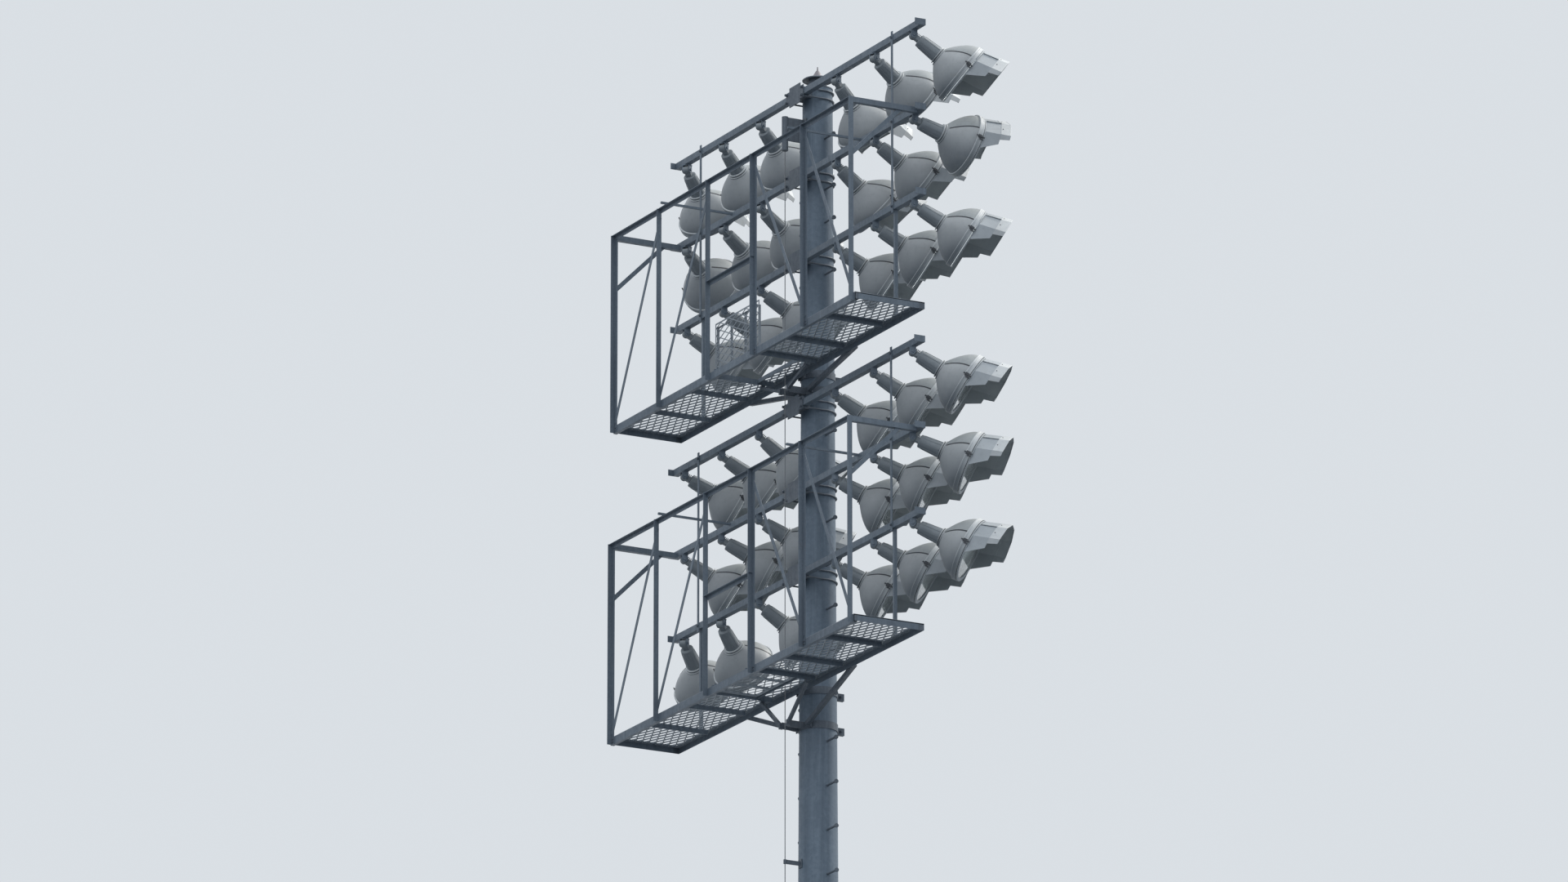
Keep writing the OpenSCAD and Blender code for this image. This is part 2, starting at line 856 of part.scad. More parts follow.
module support_brackets(t) {
    z_hi = frame_z(t) - band_h / 2 - 12;
    z_lo = frame_z(t) - band_drop[t] - band_h / 2;
    y0 = far_y(t);
    r_hi = pole_r(z_hi) + band_t;
    r_lo = pole_r(z_lo) + band_t;
    pad_y = strip_y(t) - 40;
    color(dark) {
        band(z_hi);
        band(z_lo);
        for (s = [0, 1])
            mirror([s, 0, 0]) {
                // plates from the upper band to the platform's far edge
                difference() {
                    translate([50, 60, z_hi - band_h / 2 + 3])
                        cube([10, y0 - 60 - seat, band_h - 6]);
                    translate([0, 0, z_hi - band_h])
                        cylinder(h = 2 * band_h, r = r_hi - 2, $fn = 96);
                }
                // ears on the lower band, behind the struts
                difference() {
                    translate([54, y0 - strut_w - 10 - seat, z_lo - band_h / 2 + 6])
                        cube([90, 10, band_h - 12]);
                    translate([0, 0, z_lo - band_h])
                        cylinder(h = 2 * band_h, r = r_lo - 2, $fn = 96);
                }
                difference() {
                    translate([50, 60, z_lo - band_h / 2 + 3])
                        cube([10, cable_y - 54, band_h - 6]);
                    translate([0, 0, z_lo - band_h])
                        cylinder(h = 2 * band_h, r = r_lo - 2, $fn = 96);
                }
                // knee strut along the platform's far edge
                strut([115, z_lo], [strut_x, frame_z(t) - 34], y0 - strut_w, strut_w - seat);
                // short knee out to the corner of the hatch's trimmers
                strut([71, z_lo], [hatch_half + 20, frame_z(t) - bearer_w - 24], pad_y, 30);
                translate([60 + seat, pad_y - 3, z_lo - 29])
                    cube([24, 36, 58]);
                translate([hatch_half + 4, pad_y - 3, frame_z(t) - bearer_w - seat - 30])
                    cube([36, 36, 30]);
            }
    }
}

// casing on its own axis: pivot at the origin, the beam along +Z
module lamp_casing() {
    end = back_z - seat;
    difference() {
        union() {
            rotate([0, 90, 0])
                cylinder(h = eye_w, d = eye_d, center = true);
            translate([-eye_w / 2, -25, 20])
                cube([eye_w, 50, 60]);
            translate([0, 0, eye_d])
                cylinder(h = end - eye_d, r1 = neck_r1, r2 = neck_r2);
            translate([0, 0, end - 9])
                cylinder(h = 9, r = disc_r);
        }
        rotate([0, 90, 0])
            cylinder(h = eye_w + 2, d = pin_d + 2 * seat, center = true, $fn = 32);
        // hollow for the lampholder
        translate([0, 0, eye_d + 15])
            cylinder(h = end - eye_d, r1 = neck_r1 - 8, r2 = neck_r2 - 6);
    }
}

// point on the bowl's outer curve, from s = 0 at the back to s = 1 at the mouth
function bowl_out(s) =
    [bowl_r - (bowl_r - disc_r + 4) * pow(1 - s, 1.8), neck_len + bowl_depth * s];

// point on its inner curve, a wall's thickness away
function bowl_in(s) =
    let (slope = 1.8 * (bowl_r - disc_r + 4) * pow(1 - s, 0.8))
    bowl_out(s) + bowl_wall * [-bowl_depth, slope] / norm([bowl_depth, slope]);

// spun bowl with the thick disc at its back, the rim ring and a latch plate on each side
module lamp_bowl() {
    rotate_extrude($fn = 64) {
        polygon(concat(
            [for (k = [0:10]) bowl_out(k / 10)],
            [for (k = [10:-1:0]) bowl_in(k / 10)]
        ));
        translate([bowl_r - 6, rim_z])
            square([rim_w + 6, rim_h]);
        translate([0, back_z])
            square([disc_r, 19]);
    }
    for (s = [0, 1])
        mirror([s, 0, 0])
            translate([rim_r - 3, -46, rim_z - 10])
                cube([11, 80, 58]);
}

// ring that holds the glass
module lamp_bezel() {
    translate([0, 0, bezel_z])
        difference() {
            cylinder(h = bezel_t, r = bezel_r, $fn = 64);
            translate([0, 0, -cut])
                cylinder(h = bezel_t + 2 * cut, r = ring_r, $fn = 64);
        }
}

// point on the hood's fold at angle a, from t = 0 at the root to t = 1 at the front
function fold(a, t, inset) =
    let (r = bezel_r - 1 + visor_flare * t - inset / cos(15))
    [r * cos(a), r * sin(a) + visor_lift * t, hood_z + visor_len * t];

// points at the upper edge of the hood's upright sides, and at a height y below it
function side_top(t, inset) = fold(15, t, inset) - [0, seat / 2, 0];
function side_low(t, inset, y) = [fold(15, t, inset)[0], y, hood_z + visor_len * t];

// corners of an upright side panel from t0 to t1, with its lower edge from y0 to y1
function side_panel(t0, t1, y0, y1) = [
    for (d = [0, visor_t])
        each [side_low(t0, d, y0), side_top(t0, d), side_top(t1, d), side_low(t1, d, y1)]
];

// flat panel of the hood from its eight corners, the outer four first
module hood_panel(p) {
    polyhedron(
        points = p,
        faces = [[0, 3, 2, 1], [3, 0, 4, 7], [2, 3, 7, 6], [1, 2, 6, 5], [0, 1, 5, 4], [4, 5, 6, 7]]
    );
}

// flat panels folded to follow the bezel's round, with long rear and short front sides
module lamp_hood() {
    gap = 0.03;
    split = visor_rear / visor_len;
    for (k = [0:4]) {
        a = 15 + 30 * k + gap;
        b = 45 + 30 * k - gap;
        hood_panel([
            for (d = [0, visor_t])
                each [fold(a, 0, d), fold(b, 0, d), fold(b, 1, d), fold(a, 1, d)]
        ]);
    }
    for (s = [0, 1])
        mirror([s, 0, 0]) {
            hood_panel(side_panel(0, split, -95, 10));
            hood_panel(side_panel(split + seat / visor_len, 1, 56, 92));
        }
}

module floodlight(t, r, i) {
    translate([lamp_x(i), arm_y(t), arm_z(t, r) - pivot_drop])
        rotate([90 + aims[3 * t + r][i], 0, -turns[3 * t + r][i]]) {
            color(dark)
                lamp_casing();
            color(pale)
                lamp_bowl();
            color(tint)
                translate([0, 0, glass_z])
                    cylinder(h = glass_t, r = rim_r - 8, $fn = 64);
            color(pale)
                lamp_bezel();
            color(pale)
                lamp_hood();
        }
}

pole();
base_plate();
base_door();
pole_cap();
step_pegs();
lifeline_brackets();
lifeline_cable();
crossarms(0);  // crossarms_upper
crossarms(1);  // crossarms_lower
pole_clamps(0);  // pole_clamps_upper
pole_clamps(1);  // pole_clamps_lower
hangers(0);  // hangers_upper
hangers(1);  // hangers_lower
platform_frame(0);  // platform_frame_upper
platform_frame(1);  // platform_frame_lower
platform_floor(0);  // platform_floor_upper
platform_floor(1);  // platform_floor_lower
hatch_lid(0, 90);  // hatch_lid_upper
hatch_lid(1, 0);  // hatch_lid_lower
guard_rail(0);  // guard_rail_upper
guard_rail(1);  // guard_rail_lower
support_brackets(0);  // support_brackets_upper
support_brackets(1);  // support_brackets_lower
for (t = [0:1], r = [0:2], i = [0:5])
    floodlight(t, r, i);
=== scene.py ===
"""Looks of a stadium floodlight pylon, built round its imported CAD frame. Metres, Z up."""

import json
import math

import bpy
from mathutils import Matrix, Vector


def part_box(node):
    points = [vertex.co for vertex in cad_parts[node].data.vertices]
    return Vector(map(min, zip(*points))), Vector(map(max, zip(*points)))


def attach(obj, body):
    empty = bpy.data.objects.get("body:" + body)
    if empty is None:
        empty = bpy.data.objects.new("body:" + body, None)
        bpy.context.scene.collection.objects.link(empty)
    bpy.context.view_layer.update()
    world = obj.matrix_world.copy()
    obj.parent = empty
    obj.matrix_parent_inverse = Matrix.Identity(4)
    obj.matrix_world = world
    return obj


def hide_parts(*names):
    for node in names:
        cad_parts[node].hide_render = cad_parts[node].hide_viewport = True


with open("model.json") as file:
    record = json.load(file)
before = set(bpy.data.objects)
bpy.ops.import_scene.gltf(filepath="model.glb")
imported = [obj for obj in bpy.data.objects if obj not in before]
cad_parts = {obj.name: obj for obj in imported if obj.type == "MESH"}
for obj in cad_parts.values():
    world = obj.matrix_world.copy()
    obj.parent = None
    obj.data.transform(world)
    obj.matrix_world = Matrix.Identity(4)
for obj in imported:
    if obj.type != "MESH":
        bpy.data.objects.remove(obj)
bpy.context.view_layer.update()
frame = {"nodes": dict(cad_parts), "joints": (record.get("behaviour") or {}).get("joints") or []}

nodes = frame["nodes"]
joint_at = {j["name"]: Vector(j["pos_m"]) for j in frame["joints"]}
TIERS = ("upper", "lower")
PLUS_X, PLUS_Y, PLUS_Z = Vector((1, 0, 0)), Vector((0, 1, 0)), Vector((0, 0, 1))


# Camera: the photograph looks up at the top of the mast from far away

TARGET = Vector((0.1285, 0.2865, 26.580))
AZIMUTH, ELEVATION = math.radians(242.09), math.radians(-16.75)
DISTANCE, LENS_MM, SENSOR_MM, CLIP_END = 110.0, 272.9, 36.0, 2000.0
back = Vector(
    (
        math.sin(AZIMUTH) * math.cos(ELEVATION),
        -math.cos(AZIMUTH) * math.cos(ELEVATION),
        math.sin(ELEVATION),
    )
)
camera = bpy.data.objects.new("camera", bpy.data.cameras.new("camera"))
camera.data.lens = LENS_MM
camera.data.sensor_width = SENSOR_MM
camera.data.clip_end = CLIP_END
camera.location = TARGET + back * DISTANCE
camera.rotation_mode = "QUATERNION"
camera.rotation_quaternion = (-back).to_track_quat("-Z", "Y")
bpy.context.scene.collection.objects.link(camera)
bpy.context.scene.camera = camera


# Materials


class Look:
    """A node material that is built up step by step."""

    def __init__(self, name, metallic=0.0, roughness=0.5, specular=0.5):
        self.mat = bpy.data.materials.new(name)
        self.mat.use_nodes = True
        self.tree = self.mat.node_tree
        self.shader = self.tree.nodes["Principled BSDF"]
        self.shader.inputs["Metallic"].default_value = metallic
        self.shader.inputs["Roughness"].default_value = roughness
        self.shader.inputs["Specular IOR Level"].default_value = specular
        self.place = self.node("ShaderNodeTexCoord").outputs["Object"]

    def node(self, kind, **settings):
        made = self.tree.nodes.new(kind)
        for key, value in settings.items():
            setattr(made, key, value)
        return made

    def join(self, source, target):
        self.tree.links.new(source, target)

    def scattered(self):
        """Moves the pattern on by the piece's own place, so that like pieces differ."""
        info = self.node("ShaderNodeObjectInfo")
        add = self.node("ShaderNodeVectorMath", operation="MULTIPLY_ADD")
        self.join(info.outputs["Location"], add.inputs[0])
        add.inputs[1].default_value = (3.1, 5.3, 7.7)
        self.join(self.place, add.inputs[2])
        self.place = add.outputs[0]

    def noise(self, scale, detail=4.0, rough=0.55, stretch=(1, 1, 1)):
        mapping = self.node("ShaderNodeMapping")
        mapping.inputs["Scale"].default_value = stretch
        self.join(self.place, mapping.inputs["Vector"])
        tex = self.node("ShaderNodeTexNoise")
        tex.inputs["Scale"].default_value = scale
        tex.inputs["Detail"].default_value = detail
        tex.inputs["Roughness"].default_value = rough
        self.join(mapping.outputs[0], tex.inputs["Vector"])
        return tex.outputs["Fac"]

    def cells(self, scale):
        tex = self.node("ShaderNodeTexVoronoi")
        tex.inputs["Scale"].default_value = scale
        self.join(self.place, tex.inputs["Vector"])
        grey = self.node("ShaderNodeSeparateColor")
        self.join(tex.outputs["Color"], grey.inputs[0])
        return grey.outputs[0]

    def ramp(self, value, low, high, start=0.0, end=1.0):
        """Maps value from low..high to start..end, held at both ends."""
        out = self.node("ShaderNodeMapRange")
        self.join(value, out.inputs["Value"])
        ends = {"From Min": low, "From Max": high, "To Min": start, "To Max": end}
        for key, number in ends.items():
            out.inputs[key].default_value = number
        return out.outputs["Result"]

    def times(self, a, b):
        out = self.node("ShaderNodeMath", operation="MULTIPLY")
        self.join(a, out.inputs[0])
        if isinstance(b, (int, float)):
            out.inputs[1].default_value = b
        else:
            self.join(b, out.inputs[1])
        return out.outputs[0]

    def facing_down(self, start=0.2, end=0.9):
        """1 on faces that look down; used to paint shade on the undersides."""
        geometry = self.node("ShaderNodeNewGeometry")
        split = self.node("ShaderNodeSeparateXYZ")
        self.join(geometry.outputs["Normal"], split.inputs[0])
        return self.ramp(split.outputs["Z"], -start, -end)

    def colour(self, base):
        self.now = self.node("ShaderNodeRGB")
        self.now.outputs[0].default_value = (*base, 1)
        self.now = self.now.outputs[0]

    def blend(self, value, tone, amount=1.0):
        """Lays tone over the colour so far where value is high."""
        mix = self.node("ShaderNodeMix", data_type="RGBA")
        self.join(self.times(value, amount), mix.inputs["Factor"])
        self.join(self.now, mix.inputs["A"])
        mix.inputs["B"].default_value = (*tone, 1)
        self.now = mix.outputs["Result"]

    def finish(self, roughness=None, bump=None, depth=0.001, strength=0.4):
        self.join(self.now, self.shader.inputs["Base Color"])
        if roughness is not None:
            self.join(roughness, self.shader.inputs["Roughness"])
        if bump is not None:
            node = self.node("ShaderNodeBump")
            node.inputs["Distance"].default_value = depth
            node.inputs["Strength"].default_value = strength
            self.join(bump, node.inputs["Height"])
            self.join(node.outputs[0], self.shader.inputs["Normal"])
        return self.mat


RUST, UNDERSIDE_SHADE, WATER_MARK = (0.23, 0.13, 0.075), (0.115, 0.135, 0.155), (0.31, 0.30, 0.25)


def galvanised(name, base, dull, pale, grain=38.0, rust=0.0):
    """Weathered zinc: faint crystals, rain streaks, painted shade on the undersides and, if asked,
    rust.
    """
    look = Look(name, metallic=0.15, roughness=0.6)
    look.colour(base)
    look.blend(look.ramp(look.cells(grain), 0.2, 0.9), pale, 0.22)
    look.blend(look.ramp(look.noise(0.9, 5), 0.42, 0.66), dull, 0.55)
    look.blend(look.ramp(look.noise(9, 4, stretch=(2.2, 2.2, 0.05)), 0.48, 0.72), dull, 0.5)
    look.blend(look.ramp(look.noise(14, 3, stretch=(2, 2, 0.08)), 0.56, 0.78), pale, 0.35)
    # painted shade: faces that look down are darkened
    look.blend(look.facing_down(), dull, 0.55)
    if rust:
        spots = look.ramp(look.noise(7, 8, 0.7), 0.62, 0.74)
        look.blend(spots, RUST, rust)
    rough = look.ramp(look.noise(22, 4), 0.3, 0.7, 0.42, 0.68)
    return look.finish(rough, look.noise(90, 3), 0.0012, 0.35)


def cast(name, base, dull, painted_underside_shade):
    """Dull cast or spun aluminium with water marks, and painted shade on the faces that look down.
    """
    look = Look(name, metallic=0.08)
    look.scattered()
    look.colour(base)
    look.blend(look.ramp(look.noise(3.2, 5), 0.4, 0.7), dull, 0.45)
    look.blend(look.ramp(look.noise(26, 6, 0.65), 0.52, 0.75), dull, 0.4)
    # painted shade: the faces that look down are darkened toward a dark grey
    look.blend(look.facing_down(-0.45, 0.65), UNDERSIDE_SHADE, painted_underside_shade)
    look.blend(look.ramp(look.noise(11, 4), 0.62, 0.8), WATER_MARK, 0.3)
    rough = look.ramp(look.noise(18, 4), 0.3, 0.7, 0.5, 0.7)
    return look.finish(rough, look.noise(55, 3), 0.0008, 0.3)


ZINC = galvanised(
    "galvanised_pole", (0.150, 0.195, 0.245), (0.092, 0.122, 0.157), (0.26, 0.315, 0.375),
    rust=0.12,
)
FRAME_ZINC = galvanised(
    "galvanised_frame", (0.158, 0.193, 0.232), (0.095, 0.118, 0.146), (0.27, 0.31, 0.35),
    grain=60, rust=0.18,
)
DARK_ZINC = galvanised(
    "galvanised_fittings", (0.120, 0.142, 0.170), (0.069, 0.083, 0.100), (0.22, 0.245, 0.275),
    grain=90, rust=0.25,
)
MESH_ZINC = galvanised(
    "galvanised_mesh", (0.300, 0.330, 0.360), (0.190, 0.212, 0.236), (0.46, 0.49, 0.52),
    grain=120, rust=0.12,
)
# the last number of each lamp material sets how dark the painted shade on its downward faces is
BOWL = cast("lamp_bowl", (0.545, 0.55, 0.548), (0.355, 0.366, 0.368), painted_underside_shade=0.82)
CROWN = cast("lamp_crown", (0.47, 0.485, 0.48), (0.27, 0.285, 0.29), painted_underside_shade=0.6)
CASING = cast("lamp_casing", (0.330, 0.355, 0.370), (0.200, 0.220, 0.232), painted_underside_shade=0.7)
BAND = cast("lamp_band", (0.74, 0.75, 0.745), (0.48, 0.49, 0.49), painted_underside_shade=0.85)
HOOD = cast("lamp_hood", (0.54, 0.565, 0.58), (0.36, 0.38, 0.395), painted_underside_shade=0.5)
# the hood's inside: a darker copy of the hood's colour, painted shade
HOOD_INSIDE_SHADE = cast("lamp_hood_inside_shade", (0.33, 0.355, 0.36), (0.22, 0.24, 0.25), painted_underside_shade=0.15)
LATCH = cast("lamp_latch", (0.075, 0.078, 0.085), (0.045, 0.048, 0.052), painted_underside_shade=0.2)


def mirror_material():
    look = Look("lamp_reflector", metallic=1.0)
    look.scattered()
    look.colour((0.80, 0.81, 0.82))
    look.blend(look.ramp(look.noise(6, 4), 0.45, 0.75), (0.62, 0.63, 0.62), 0.5)
    rough = look.ramp(look.noise(30, 3), 0.3, 0.7, 0.12, 0.26)
    return look.finish(rough, look.cells(70), 0.0006, 0.25)


def glass_material(name, tint, roughness):
    look = Look(name, roughness=roughness)
    look.scattered()
    look.colour(tint)
    look.blend(look.ramp(look.noise(5, 5), 0.5, 0.8), (0.62, 0.62, 0.58), 0.35)
    look.shader.inputs["Transmission Weight"].default_value = 0.92
    look.shader.inputs["IOR"].default_value = 1.46
    rough = look.ramp(look.noise(12, 4), 0.4, 0.75, roughness, roughness + 0.12)
    return look.finish(rough)


def cable_material():
    look = Look("cable_steel", metallic=0.6)
    look.colour((0.30, 0.315, 0.33))
    mapping = look.node("ShaderNodeMapping")
    mapping.inputs["Rotation"].default_value = (0.5, 0.0, 0.0)
    look.join(look.place, mapping.inputs["Vector"])
    wave = look.node("ShaderNodeTexWave", bands_direction="Z")
    wave.inputs["Scale"].default_value = 110.0
    look.join(mapping.outputs[0], wave.inputs["Vector"])
    look.blend(look.ramp(wave.outputs["Fac"], 0.2, 0.8), (0.12, 0.13, 0.14), 0.7)
    look.blend(look.ramp(look.noise(4, 5), 0.55, 0.75), (0.20, 0.16, 0.12), 0.4)
    rough = look.ramp(look.noise(30), 0.3, 0.7, 0.35, 0.6)
    return look.finish(rough, wave.outputs["Fac"], 0.001, 0.6)


CAP_CONE = galvanised(
    "cap_cone", (0.33, 0.30, 0.31), (0.20, 0.18, 0.19), (0.45, 0.42, 0.43), grain=70, rust=0.3
)
MIRROR = mirror_material()
GLASS = glass_material("lamp_glass", (0.86, 0.90, 0.90), 0.04)
QUARTZ = glass_material("lamp_envelope", (0.95, 0.96, 0.96), 0.02)
CABLE = cable_material()

CAD_LOOKS = {
    "pole": ZINC,
    "base_plate": ZINC,
    "base_door": ZINC,
    "pole_cap": DARK_ZINC,
    "step_pegs": DARK_ZINC,
    "lifeline_brackets": DARK_ZINC,
    "lifeline_cable": CABLE,
    "crossarms": FRAME_ZINC,
    "pole_clamps": DARK_ZINC,
    "hangers": FRAME_ZINC,
    "platform_frame": FRAME_ZINC,
    "platform_floor": MESH_ZINC,
    "hatch_lid": MESH_ZINC,
    "guard_rail": FRAME_ZINC,
    "support_brackets": DARK_ZINC,
    "floodlight": BOWL,
}
for name, thing in nodes.items():
    key = max((k for k in CAD_LOOKS if name.startswith(k)), key=len)
    thing.data.materials.clear()
    thing.data.materials.append(CAD_LOOKS[key])


# Shapes


class Shape:
    """Gathers the faces of one piece, each with its material."""

    def __init__(self):
        self.points = []
        self.faces = []
        self.looks = []

    def add(self, points, faces, look, place=None):
        start = len(self.points)
        for p in points:
            p = Vector(p)
            self.points.append(place @ p if place else p)
        for face in faces:
            self.faces.append([start + i for i in face])
            self.looks.append(look)

    def lathe(self, profile, look, sides=48, place=None, closed=False):
        """Turns (radius, height) points about Z; a closed profile makes a ring."""
        points, rings = [], []
        for r, z in profile:
            if r < 1e-6:
                rings.append([len(points)])
                points.append((0, 0, z))
                continue
            rings.append(list(range(len(points), len(points) + sides)))
            for k in range(sides):
                a = 2 * math.pi * k / sides
                points.append((r * math.cos(a), r * math.sin(a), z))
        faces = []
        count = len(rings)
        for i in range(count if closed else count - 1):
            low, high = rings[i], rings[(i + 1) % count]
            for k in range(sides):
                j = (k + 1) % sides
                if len(low) == 1 and len(high) > 1:
                    faces.append([low[0], high[j], high[k]])
                elif len(high) == 1 and len(low) > 1:
                    faces.append([low[k], low[j], high[0]])
                elif len(low) > 1:
                    faces.append([low[k], low[j], high[j], high[k]])
        self.add(points, faces, look, place)

    def prism(self, outline, low, high, look, place=None):
        """Closed bar with a flat outline in XY, from low to high along Z."""
        n = len(outline)
        area = 0.0
        for (xa, ya), (xb, yb) in zip(outline[-1:] + outline[:-1], outline):
            area += xa * yb - xb * ya
        if area < 0:
            outline = outline[::-1]
        points = [(x, y, low) for x, y in outline] + [(x, y, high) for x, y in outline]
        faces = [list(range(n))[::-1], list(range(n, 2 * n))]
        faces += [[i, (i + 1) % n, n + (i + 1) % n, n + i] for i in range(n)]
        self.add(points, faces, look, place)

    def box(self, low, high, look, place=None, edge=0.0):
        """Block with its four upright edges cut off by edge."""
        (x0, y0, z0), (x1, y1, z1) = low, high
        e = edge
        outline = [(x0 + e, y0), (x1 - e, y0), (x1, y0 + e), (x1, y1 - e)]
        outline += [(x1 - e, y1), (x0 + e, y1), (x0, y1 - e), (x0, y0 + e)]
        if not edge:
            outline = [(x0, y0), (x1, y0), (x1, y1), (x0, y1)]
        self.prism(outline, z0, z1, look, place)

    def bolt(self, place, size, length=0.0, washer=True):
        """Hexagon head or nut with its washer, on Z from a face at z = 0."""
        z = 0.0
        if washer:
            z = size * 0.16
            self.lathe([(0, 0), (size * 1.1, 0), (size * 1.1, z), (0, z)], 0, 20, place)
        corners = [k * math.pi / 3 for k in range(6)]
        ring = [(math.cos(a) * size, math.sin(a) * size) for a in corners]
        self.prism(ring, z, z + size * 0.8, 0, place)
        if length:
            r = size * 0.55
            top = z + size * 0.8 + length
            self.lathe([(r, z), (r, top - 0.1 * size), (r * 0.8, top), (0, top)], 0, 14, place)

    def mesh(self, name, looks, crease=27.0):
        data = bpy.data.meshes.new(name)
        data.from_pydata([tuple(p) for p in self.points], [], self.faces)
        for look in looks:
            data.materials.append(look)
        data.polygons.foreach_set("material_index", self.looks)
        data.polygons.foreach_set("use_smooth", [True] * len(self.faces))
        data.set_sharp_from_angle(angle=math.radians(crease))
        data.update()
        return data


def piece(name, data, body, place=None, replaces=()):
    made = bpy.data.objects.new(name, data)
    bpy.context.scene.collection.objects.link(made)
    if place:
        made.matrix_world = place
    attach(made, body)
    if replaces:
        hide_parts(*replaces)
    return made


def at(x, y, z):
    return Matrix.Translation((x, y, z))


def toward(point, direction, spin=0.0):
    """Places a shape's Z axis along direction."""
    turn = Vector(direction).normalized().to_track_quat("Z", "Y").to_matrix().to_4x4()
    return Matrix.Translation(point) @ turn @ Matrix.Rotation(spin, 4, "Z")


# Floodlights: local Z is the beam, local Y points up, the tilt pivot is the origin

NECK_LEN, NECK_R1, NECK_R2 = 0.300, 0.062, 0.073
BOWL_R, BOWL_WALL, BOWL_DEPTH = 0.290, 0.005, 0.255
DISC_R, RIM_R, RIM_H = NECK_R2 + 0.012, BOWL_R + 0.012, 0.048
RIM_Z = NECK_LEN + BOWL_DEPTH - 0.020
GLASS_Z, GLASS_T = RIM_Z + RIM_H + 0.0003, 0.006
BEZEL_Z, BEZEL_T = GLASS_Z + GLASS_T + 0.0003, 0.010
BEZEL_R = RIM_R - 0.0033
HOOD_Z, HOOD_LEN, HOOD_REAR = BEZEL_Z + BEZEL_T + 0.0003, 0.240, 0.150
HOOD_R, HOOD_FLARE, HOOD_LIFT, HOOD_WALL = BEZEL_R - 0.001, 0.020, 0.055, 0.003
HOOD_FOLDS, HOOD_HALF_FOLD = (15, 45, 75, 105, 135, 165), 15
REAR_LOW, FRONT_LOW = (-0.095, 0.010), (0.056, 0.092)
SEAM, NECK_RIBS = 18, 8
FINE, MEDIUM = 64, 48
# places of the lamp's materials in its mesh
ON_BOWL, ON_CASING, ON_BAND, ON_MIRROR, ON_LATCH = range(5)
ON_HOLDER, ON_INSIDE_SHADE, ON_HOOD, ON_CROWN = range(5, 9)
LATCH_BOXES = (
    ((0.2990, -0.018, RIM_Z + 0.004), (0.3050, 0.018, RIM_Z + RIM_H - 0.004)),
    ((0.3040, -0.007, RIM_Z - 0.014), (0.3095, 0.007, RIM_Z + RIM_H + 0.020)),
    ((0.3030, -0.030, RIM_Z + 0.022), (0.3080, -0.018, RIM_Z + RIM_H + 0.012)),
)
HOLDER = [(0.0, 0.285), (0.046, 0.285), (0.046, 0.325), (0.030, 0.337), (0.024, 0.360), (0.0, 0.360)]
ENVELOPE = [
    (0, 0.360), (0.018, 0.361), (0.020, 0.376), (0.034, 0.405), (0.040, 0.445), (0.034, 0.490),
    (0.018, 0.520), (0.006, 0.530), (0, 0.531),
]
ARC_TUBE = [
    (0, 0.365), (0.004, 0.366), (0.004, 0.41), (0.011, 0.42), (0.013, 0.445), (0.011, 0.47),
    (0, 0.478),
]
AIMS = (
    (36, 33, 32, 40, 29, 37),
    (20, 27, 27, 39, 32, 18),
    (31, 30, 32, 31, 30, 31),
    (27, 33, 41, 34, 33, 32),
    (32, 29, 30, 29, 28, 25),
    (33, 33, 37, 30, 29, 27),
)
TURNS = (
    (-35, -30, -28, -20, -15, 15),
    (-35, -20, -18, 3, 5, 3),
    (12, 12, 14, 15, 16, 18),
    (15, 16, 18, 20, 22, 25),
    (20, 24, 20, 28, 29, 30),
    (-38, -35, 20, 28, 31, 34),
)


def bowl_out(share):
    """(radius, height) point on the bowl's outside, share 0 at its back and 1 at its mouth."""
    radius = BOWL_R - (BOWL_R - DISC_R + 0.004) * (1 - share) ** 1.8
    return radius, NECK_LEN + BOWL_DEPTH * share


def fin(angle):
    """Stands a (height, radius) outline upright in the half-plane at angle degrees from +X."""
    turn = Matrix.Rotation(math.radians(angle + 180), 4, "Z")
    return turn @ Matrix.Rotation(math.pi / 2, 4, "X") @ Matrix.Rotation(math.pi / 2, 4, "Z")


def lamp_casing(shape):
    """Eye at the pivot, ribbed neck and the two bands where it meets the bowl."""
    side = Matrix.Rotation(math.pi / 2, 4, "Y")
    eye = [(0.0083, -0.029), (0.035, -0.029), (0.035, 0.029), (0.0083, 0.029)]
    shape.lathe(eye, ON_CASING, 40, side, closed=True)
    shape.box((-0.029, -0.025, 0.018), (0.029, 0.025, 0.075), ON_CASING, edge=0.006)
    # toothed rack that sets the aim
    for k in range(4):
        z = 0.016 + 0.0145 * k
        shape.box((-0.013, 0.022, z), (0.013, 0.046, z + 0.0075), ON_CASING, edge=0.002)
    neck = [(0.0, 0.066), (0.052, 0.066), (0.060, 0.070), (NECK_R1, 0.078)]
    neck += [(NECK_R1 + 0.0005, 0.10), (NECK_R2 - 0.001, 0.276), (NECK_R2, 0.282)]
    shape.lathe(neck, ON_CASING, MEDIUM)
    rib = [(0.092, NECK_R1 - 0.004), (0.100, NECK_R1 + 0.003)]
    rib += [(0.268, NECK_R2 + 0.002), (0.276, NECK_R2 - 0.004)]
    for k in range(NECK_RIBS):
        shape.prism(rib, -0.004, 0.004, ON_CASING, fin((k + 0.5) * 360 / NECK_RIBS))
    inside = NECK_R2 - 0.006
    for z, r in ((0.280, 0.090), (0.3005, 0.098)):
        ring = [(inside, z), (r - 0.003, z), (r, z + 0.002), (r, z + 0.007)]
        ring += [(r - 0.003, z + 0.009), (inside, z + 0.009)]
        shape.lathe(ring, ON_BAND, MEDIUM, closed=True)


